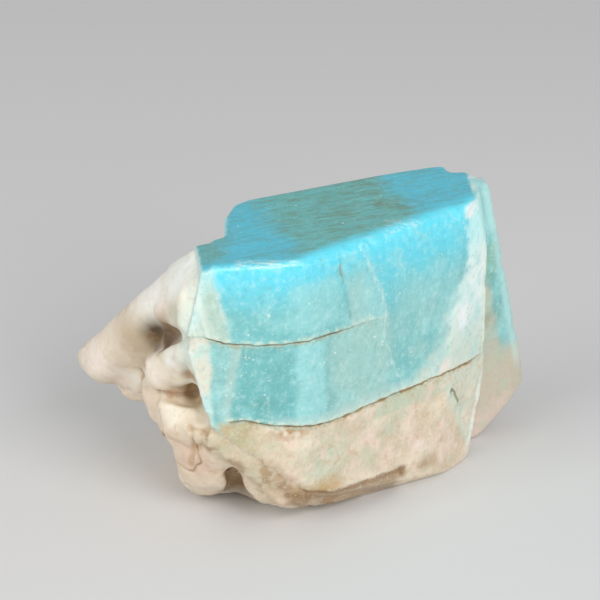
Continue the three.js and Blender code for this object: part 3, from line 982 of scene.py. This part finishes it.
def carved(points, normals):
    """How far the carvings take each point inward."""
    depth = np.zeros(len(points))
    wander = wander_of(points)
    for path, reach, amount in CARVINGS.values():
        depth += amount * np.exp(-((1.5 * (beside(points, normals, path) + wander) / reach) ** 2))
    for path in CHEEK_LINES:
        depth += 0.25 * np.exp(-(((beside(points, normals, path) + wander) / 0.35) ** 2))
    return depth


def ledges(points, normal, spacing, seed):
    """Small steps, as where massive feldspar has split along its cleavage."""
    t = points @ np.array(normal) / spacing + 0.8 * noise(points, 3.0, seed)
    f = t - np.floor(t)
    return ramp(0.75, 1.0, f) - f


def front_foot(points):
    """1 on the crumbly foot in front of the crystal's lower left corner, 0 elsewhere."""
    x, y, z = points.T
    return ramp(-10.0, -8.0, x) * ramp(-10, -13, y) * ramp(14, 11, z)


def cheek_folds(points):
    """1 along winding creases on the cheek, 0 elsewhere."""
    near = ramp(1.0, 0.6, np.linalg.norm(points - (-15.4, -17.0, 9.4), axis=1) / 7.5)
    return near * ramp(0.16, 0.0, np.abs(fractal(points, 4.2, 2, 55)))


def matrix_relief(points, normals):
    """The height of the feldspar's relief: smooth on the arm, broken at the back and the foot."""
    x, y, z = points.T
    smooth = ramp(-13, -17, x) * ramp(12, 20, z) * ramp(14, 6, y)
    rough = 1 - 0.7 * smooth
    relief = 0.26 * fractal(points, 4.5, 3, 40) + rough * 0.14 * fractal(points, 1.4, 3, 44)
    broken = rough * ramp(-0.2, 0.4, fractal(points, 6.0, 2, 47))
    relief += broken * 0.28 * ledges(points, (0.35, 0.8, 0.48), 1.9, 48)
    relief -= 0.4 * cheek_folds(points)
    crumbly = np.maximum(front_foot(points), ramp(2.4, 1.0, beside(points, normals, HEEL_EDGE)))
    return relief + crumbly * 0.45 * fractal(points, 2.6, 2, 49)


def matrix_shape(crystal):
    mass = fused_mass(crystal)
    points, normals = surface_of(mass)
    gap = distance_to(points, tree_of(CRYSTAL_NODE), 2.0)
    shown = ramp(0.35, 1.2, gap) * ramp(0.1, 0.6, points[:, 2])
    relief = (matrix_relief(points, normals) - carved(points, normals)) * shown
    points = points + normals * relief[:, None]
    points[:, 2] = np.maximum(points[:, 2], 0)
    move_to(mass, points)
    mesh = largest_part(without(mass, shrunk(crystal, CONTACT_OVERLAP)))
    mesh.shade_smooth()
    return mesh


def colour_matrix(mesh):
    """The feldspar's colours, layer by layer, with painted shade in its hollows, and what else its material
    reads.
    """
    points, normals = surface_of(mesh)
    edges = edges_of(mesh)
    x, y, z = points.T
    warp, fine_warp = warps(points)
    shade = occlusion(points, normals, edges, tree_of(CRYSTAL_NODE, MATRIX_NODE), 8.0)
    stain_and_hollow_shade = shade + 0.2 * fractal(points, 2, 2, 53)
    gap = distance_to(points, tree_of(CRYSTAL_NODE), 3.0)
    touching = mixed(srgb(220, 204, 182), srgb(226, 240, 228), ramp(16, 28, z))
    shifted = points + warp[:, None]
    patches = [(other, share * ball(shifted, place, size)) for place, size, other, share in PATCHES.values()]
    wander = wander_of(points)
    from_lines = [np.abs(beside(points, normals, path) + wander) for path in CHEEK_LINES]
    along_heel = ramp(2.4, 1.0, beside(points, normals, HEEL_EDGE) + 0.8 * warp)
    crumbly = np.maximum(front_foot(points), along_heel)
    colour = layered(
        CREAM,
        (WHITE, 0.8 * ramp(-0.1, 0.6, fractal(points, 6, 3, 50))),
        (PINK, 0.6 * ramp(0.0, 0.5, fractal(points, 5, 3, 51))),
        (srgb(226, 206, 178), 0.6 * ramp(22, 12, z + 2 * warp)),
        (BEIGE, 0.6 * ramp(0.1, 0.6, fractal(points, 3, 3, 52))),
        (touching, 0.8 * ramp(2.6, 0.3, gap + 0.7 * warp)),
        *patches,
        *((TAN, 0.5 * ramp(0.6, 0.1, away)) for away in from_lines),
        (TAN, 0.45 * cheek_folds(points)),
        # tan, then brown, the more closed in a point is: painted shade in the hollows, together with the
        # brown stain the feldspar has there
        (TAN, 0.5 * ramp(0.35, 0.75, stain_and_hollow_shade)),
        (BROWN, 0.6 * ramp(0.6, 1.0, stain_and_hollow_shade)),
        (foot_colour(points, warp), 0.6 * crumbly * ramp(0.6, 0.2, shade)),
    )
    colour = heel_stain_and_crevice_shade(colour, points, normals, warp, fine_warp)
    pits = ramp(0.1, 0.45, fractal(points, 1.6, 3, 54))
    set_attributes(
        mesh,
        mixed(colour, BROWN, 0.6 * crumbly * pits),
        grain=crumbly,
        vein=band(z, 5, 17, 2) * band(x, -19, -10, 1.5) * ramp(0, -4, y),
        edge=convexity(points, normals, edges, 4),
    )


# ---- materials


class Nodes:
    """Short names for making a material's nodes."""

    def __init__(self, name):
        self.material = bpy.data.materials.new(name)
        self.material.use_nodes = True
        self.tree = self.material.node_tree
        self.tree.nodes.clear()

    def add(self, kind, settings=(), **inputs):
        node = self.tree.nodes.new(kind)
        for key, value in dict(settings).items():
            setattr(node, key, value)
        for key, value in inputs.items():
            self.put(node, key.replace("_", " "), value)
        return node

    def put(self, node, socket, value):
        target = node.inputs[socket]
        if isinstance(value, bpy.types.NodeSocket):
            self.tree.links.new(value, target)
        else:
            target.default_value = value

    def filled(self, kind, setting, choice, values):
        """The first output of a node with one setting, whose first inputs are some values."""
        node = self.add(kind, {setting: choice})
        for i, value in enumerate(values):
            self.put(node, i, value)
        return node.outputs[0]

    def math(self, operation, *values):
        return self.filled("ShaderNodeMath", "operation", operation, values)

    def vector(self, operation, *values):
        return self.filled("ShaderNodeVectorMath", "operation", operation, values)

    def product(self, *values):
        result = values[0]
        for value in values[1:]:
            result = self.math("MULTIPLY", result, value)
        return result

    def ramp(self, value, low, high, start=0.0, end=1.0):
        """start where value is low, end where it is high, smooth between."""
        inputs = (value, low, high, start, end)
        return self.filled("ShaderNodeMapRange", "interpolation_type", "SMOOTHSTEP", inputs)

    def layered(self, colour, *layers):
        """A colour with others laid over it in turn, each by the product of its shares."""
        for other, *shares in layers:
            node = self.add("ShaderNodeMix", {"data_type": "RGBA", "clamp_factor": True})
            for socket, value in ((0, self.product(*shares)), (6, colour), (7, other)):
                if isinstance(value, np.ndarray):
                    value = (*value, 1.0)
                self.put(node, socket, value)
            colour = node.outputs[2]
        return colour

    def value(self, name, output="Fac"):
        return self.add("ShaderNodeAttribute", {"attribute_name": name}).outputs[output]

    def tint(self):
        return self.value("tint", "Color")

    def place(self, sizes=(1.0, 1.0, 1.0), angle=0.0):
        """The point's place in millimetres, turned about Z and divided by a size for each axis."""
        here = self.add("ShaderNodeTexCoord").outputs["Object"]
        turn = self.add("ShaderNodeVectorRotate", {"rotation_type": "Z_AXIS"}, Vector=here, Angle=-angle)
        return self.vector("MULTIPLY", turn.outputs[0], tuple(1 / (MM * size) for size in sizes))

    def moved(self, place, reach, scale):
        """A place shifted by noise, to make round shapes ragged."""
        shift = self.add("ShaderNodeTexNoise", Vector=place, Scale=scale, Detail=2.0).outputs["Color"]
        centred = self.vector("SUBTRACT", shift, (0.5, 0.5, 0.5))
        return self.vector("MULTIPLY_ADD", centred, (reach, reach, reach), place)

    def noise(self, place, scale, detail=2.0, roughness=0.5):
        node = self.add("ShaderNodeTexNoise", Vector=place, Scale=scale, Detail=detail, Roughness=roughness)
        return node.outputs["Fac"]

    def veins(self, value, width):
        """1 where noise crosses its middle, which draws thin winding lines."""
        return self.ramp(self.math("ABSOLUTE", self.math("SUBTRACT", value, 0.5)), 0.0, width, 1.0, 0.0)

    def flecks(self, place, scale, density):
        """Ragged flecks of many sizes, more of them where density is high."""
        ragged = self.moved(self.moved(place, 0.5, 3.0), 0.3, 6.0)
        cells = self.add("ShaderNodeTexVoronoi", Vector=ragged, Scale=scale)
        dice = self.add("ShaderNodeSeparateColor", Color=cells.outputs["Color"])
        chosen = self.math("LESS_THAN", dice.outputs[0], density)
        size = self.ramp(self.product(dice.outputs[1], dice.outputs[1]), 0.0, 1.0, 0.10, 0.36)
        near = self.ramp(self.math("DIVIDE", cells.outputs["Distance"], size), 0.3, 1.3, 1.0, 0.0)
        return self.product(near, chosen, self.ramp(dice.outputs[2], 0.0, 1.0, 0.2, 1.0))

    def finish(self, colour, roughness, height, bump, **surface):
        """The material, with its surface's other inputs by name."""
        bumped = self.add("ShaderNodeBump", Strength=bump, Distance=0.1 * MM, Height=height).outputs[0]
        surface.update(Base_Color=colour, Roughness=roughness, Normal=bumped)
        shader = self.add("ShaderNodeBsdfPrincipled", **surface)
        self.add("ShaderNodeOutputMaterial", Surface=shader.outputs[0])
        return self.material


def halfway(colour, other):
    return (colour + other) / 2


def crack_line(n, colour, name, place, line_colour, widest):
    """A pale lip over a crack, partly a painted highlight; a tan stain under it; and a thin brown line along
    it, whose dark core is partly painted shade in the crack.
    """
    height = n.value(name)
    opening = n.value(name + "_open")
    ragged = n.noise(place, 1.4, 4.0, 0.6)
    reach = n.math("ADD", height, n.ramp(ragged, 0.3, 0.7, -0.3, 0.5))
    breadth = n.ramp(n.noise(place, 0.8, 3.0), 0.35, 0.65, 0.04, widest)
    away = n.math("DIVIDE", n.math("ABSOLUTE", height), breadth)
    gape = n.ramp(opening, 0.35, 0.9)
    dark = n.ramp(n.noise(place, 0.45, 2.0), 0.45, 0.62)
    lip = n.product(n.ramp(height, 0.02, 0.2), n.ramp(height, 0.95, 0.4), n.ramp(opening, 0.0, 0.3))
    under = n.product(n.ramp(height, 0.1, -0.02), n.ramp(reach, -0.7, 0.2), opening)
    return n.layered(
        colour,
        # the pale lip: partly its paler colour, partly a painted highlight
        (srgb(222, 230, 210), lip, n.ramp(ragged, 0.35, 0.65, 0.05, 0.75)),
        (halfway(line_colour, STAINED_OLIVE), under, 0.55),
        (line_colour, n.ramp(away, 0.6, 1.8, 1.0, 0.0), gape, 0.9),
        # the line's dark core: partly the crack's stain, partly painted shade inside it
        (DARK_BROWN, n.ramp(away, 0.1, 0.8, 1.0, 0.0), gape, dark, 0.6),
    )


def upright_lines(n, colour, place):
    """The faint upright crack on the right face, olive in part, and the pale line beside it."""
    broken = n.noise(place, 0.5, 3.0)
    wander = n.math("SUBTRACT", n.noise(place, 1.0, 3.0), 0.5)
    opening = n.value("upright_open")
    from_crack = n.math("ABSOLUTE", n.math("ADD", n.value("upright"), n.product(wander, 0.7)))
    from_line = n.math("ABSOLUTE", n.math("ADD", n.value("pale_line"), n.product(wander, 0.9)))
    pale = n.product(n.ramp(from_line, 0.03, 0.3, 1.0, 0.0), n.ramp(broken, 0.4, 0.6, 0.2, 0.8))
    return n.layered(
        colour,
        (OLIVE, n.ramp(from_crack, 0.1, 0.45, 1.0, 0.0), n.ramp(broken, 0.45, 0.6), opening, 0.4),
        (OLIVE, n.ramp(from_crack, 0.02, 0.13, 1.0, 0.0), opening, n.ramp(broken, 0.35, 0.5), 0.8),
        (ICE, pale, n.value("clear"), 0.7),
    )


def amazonite_colour(n, place):
    """The clear parts of the crystal: cloudy, faintly fibrous and finely grained."""
    clouds = n.noise(place, 0.3, 5.0, 0.6)
    mottle = n.noise(place, 1.1, 4.0, 0.6)
    fibres = n.noise(n.moved(n.place((0.5, 0.5, 3.0)), 0.6, 0.8), 1.0, 4.0, 0.65)
    fine = n.noise(place, 2.6, 3.0, 0.7)
    clear = n.value("clear")
    return n.layered(
        n.tint(),
        (PALE_TEAL, n.ramp(clouds, 0.46, 0.7, 0.0, 0.5), clear),
        (ICE, n.ramp(mottle, 0.5, 0.7, 0.0, 0.28), clear),
        (DEEP_TEAL, n.ramp(mottle, 0.48, 0.28, 0.0, 0.3)),
        (ICE, n.ramp(fibres, 0.5, 0.72, 0.0, 0.1), clear),
        (DEEP_TEAL, n.ramp(fine, 0.45, 0.25, 0.0, 0.2)),
        (ICE, n.ramp(fine, 0.52, 0.72, 0.0, 0.22)),
    )


def top_streaks(n, colour, place):
    """Olive streaks along the top, with a few pale ones between them."""
    wide = n.noise(n.moved(n.place((3.6, 0.9, 1.0), STREAK_ANGLE), 0.9, 1.4), 1.0, 6.0, 0.7)
    narrow = n.noise(n.moved(n.place((1.5, 0.3, 1.0), STREAK_ANGLE), 0.5, 1.0), 1.0, 4.0, 0.7)
    streak = n.value("streak")
    return n.layered(
        colour,
        (STREAK_OLIVE, n.ramp(wide, 0.44, 0.66), streak, 0.65),
        (srgb(96, 120, 96), n.ramp(narrow, 0.52, 0.7), streak, 0.5),
        (PALE_TEAL, n.ramp(narrow, 0.46, 0.3), streak, 0.45),
    )


def foot_grain(n, colour, place, grain):
    """The sugary grain of the pale crystal under the lower crack."""
    speckle = n.noise(place, 1.9, 4.0, 0.75)
    patches = n.noise(place, 0.6, 5.0, 0.7)
    return n.layered(
        colour,
        (TAN, grain, n.ramp(patches, 0.5, 0.7, 0.0, 0.45)),
        (SAGE, grain, n.ramp(patches, 0.46, 0.3, 0.0, 0.4)),
        (srgb(190, 166, 136), grain, n.ramp(speckle, 0.54, 0.7, 0.0, 0.5)),
        (srgb(244, 236, 222), grain, n.ramp(speckle, 0.47, 0.33, 0.0, 0.3)),
    )


def amazonite_material():
    n = Nodes("amazonite")
    place = n.place()
    grain = n.value("grain")
    fleck = n.value("fleck")
    colour = n.layered(amazonite_colour(n, place), (n.tint(), grain))
    colour = n.layered(
        top_streaks(n, colour, place),
        (ICE, n.flecks(n.moved(place, 0.4, 2.0), 1.3, fleck), 0.25),
        (WHITE, n.flecks(place, 1.9, fleck), 0.75),
    )
    colour = foot_grain(n, colour, place, grain)
    colour = upright_lines(n, colour, place)
    colour = crack_line(n, colour, "upper", place, halfway(BROWN, OLIVE), 0.10)
    colour = crack_line(n, colour, "lower", place, halfway(RUST, OLIVE), 0.24)
    # noise that breaks the painted highlight along the top's front edges into streaks
    glint_and_wear = n.ramp(n.noise(n.place((1.6, 0.3, 0.3)), 1.0, 4.0, 0.7), 0.45, 0.65)
    colour = n.layered(
        colour,
        # paler on convex edges and ridges: partly their worn colour, partly a painted highlight
        (ICE, n.ramp(n.value("edge"), 0.05, 0.14, 0.0, 0.2)),
        # painted shade where the slot opens, drawn as a dark olive line
        (srgb(120, 112, 70), n.ramp(n.value("slot"), 0.0, 0.8, 0.0, 0.7)),
        (WHITE, n.value("highlight"), glint_and_wear, 0.6),
    )
    roughness = n.ramp(n.noise(place, 0.9, 4.0), 0.3, 0.7, 0.34, 0.5)
    height = n.product(n.noise(place, 3.0, 4.0, 0.7), n.math("ADD", grain, 0.3))
    return n.finish(
        colour, roughness, height, 0.25,
        Subsurface_Weight=0.35, Subsurface_Radius=(0.6, 1.0, 1.0), Subsurface_Scale=1.6 * MM,
    )


def feldspar_material():
    n = Nodes("feldspar")
    place = n.place()
    mottle = n.noise(place, 0.7, 6.0, 0.7)
    speckle = n.noise(place, 2.4, 4.0, 0.75)
    winding = n.noise(n.moved(place, 1.8, 0.5), 0.22, 3.0)
    patchy = n.product(n.ramp(n.noise(place, 0.35, 2.0), 0.46, 0.62), n.value("vein"))
    colour = n.layered(
        n.tint(),
        (TAN, n.ramp(mottle, 0.5, 0.75, 0.0, 0.4)),
        (WHITE, n.ramp(speckle, 0.4, 0.2, 0.0, 0.5)),
        (TAN, n.veins(winding, 0.04), patchy, 0.35),
    )
    colour = foot_grain(n, colour, place, n.value("grain"))
    # brown in the grooves: partly the stain in the creases, partly painted shade there
    colour = n.layered(colour, (BROWN, n.ramp(n.value("edge"), -0.06, -0.2, 0.0, 0.5)))
    return n.finish(
        colour, n.ramp(mottle, 0.3, 0.7, 0.45, 0.65), n.math("ADD", speckle, mottle), 0.5,
        Subsurface_Weight=0.15, Subsurface_Radius=(1.0, 0.8, 0.6), Subsurface_Scale=1.4 * MM,
    )


# ---- the setting

VIEW_TARGET = Vector((-0.53, -4.39, 28.6)) * MM
VIEW_DISTANCE = 420 * MM
VIEW_ELEVATION = math.radians(24)
SENSOR_WIDTH = 36.0
VIEW_WIDTH = 82.8 * MM           # width of the view at the target
FLOOR_REACH = 1.5
FLOOR_COLOUR = (0.74, 0.74, 0.74, 1)
FLOOR_ROUGHNESS = 0.8
WORLD_STRENGTH = 0.45
# Each lamp's name, place, size and power, in metres and watts.
SOFTBOXES = (
    ("key", (0.25, -0.43, 0.33), 0.34, 1.9),
    ("left", (-0.38, -0.32, 0.30), 0.30, 1.05),
)


def add_camera():
    data = bpy.data.cameras.new("camera")
    data.sensor_width = SENSOR_WIDTH
    data.lens = SENSOR_WIDTH * VIEW_DISTANCE / VIEW_WIDTH
    camera = placed("camera", data)
    back = Vector((0, -math.cos(VIEW_ELEVATION), math.sin(VIEW_ELEVATION)))
    camera.location = VIEW_TARGET + back * VIEW_DISTANCE
    camera.rotation_euler = back.to_track_quat("Z", "Y").to_euler()
    bpy.context.scene.camera = camera


def add_softbox(name, place, size, power):
    data = bpy.data.lights.new(name, "AREA")
    data.size = size
    data.energy = power
    lamp = placed(name, data)
    lamp.location = place
    lamp.rotation_euler = (Vector(place) - VIEW_TARGET).to_track_quat("Z", "Y").to_euler()


def add_floor():
    mesh = bpy.data.meshes.new("floor")
    corners = [(x * FLOOR_REACH, y * FLOOR_REACH, 0) for x, y in ((-1, -1), (1, -1), (1, 1), (-1, 1))]
    mesh.from_pydata(corners, [], [(0, 1, 2, 3)])
    floor = placed("floor", mesh)
    material = bpy.data.materials.new("floor")
    material.use_nodes = True
    shader = material.node_tree.nodes["Principled BSDF"]
    shader.inputs["Base Color"].default_value = FLOOR_COLOUR
    shader.inputs["Roughness"].default_value = FLOOR_ROUGHNESS
    mesh.materials.append(material)


def add_studio():
    world = bpy.data.worlds.new("studio")
    world.use_nodes = True
    background = world.node_tree.nodes["Background"]
    background.inputs["Color"].default_value = (1, 1, 1, 1)
    background.inputs["Strength"].default_value = WORLD_STRENGTH
    scene = bpy.context.scene
    scene.world = world
    scene.view_settings.view_transform = "Standard"
    for name, place, size, power in SOFTBOXES:
        add_softbox(name, place, size, power)


# ---- the whole


def dress(name, mesh, node, material):
    """A piece of the visual model, in the place of its solid."""
    piece = placed(name, mesh)
    mesh.materials.clear()
    mesh.materials.append(material)
    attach(piece, "root")
    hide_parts(node)


add_camera()
add_studio()
add_floor()
crystal_mesh, cracks_there = crystal_shape()
matrix_mesh = matrix_shape(crystal_mesh)
colour_crystal(crystal_mesh, cracks_there)
colour_matrix(matrix_mesh)
dress("crystal", crystal_mesh, CRYSTAL_NODE, amazonite_material())
dress("feldspar", matrix_mesh, MATRIX_NODE, feldspar_material())
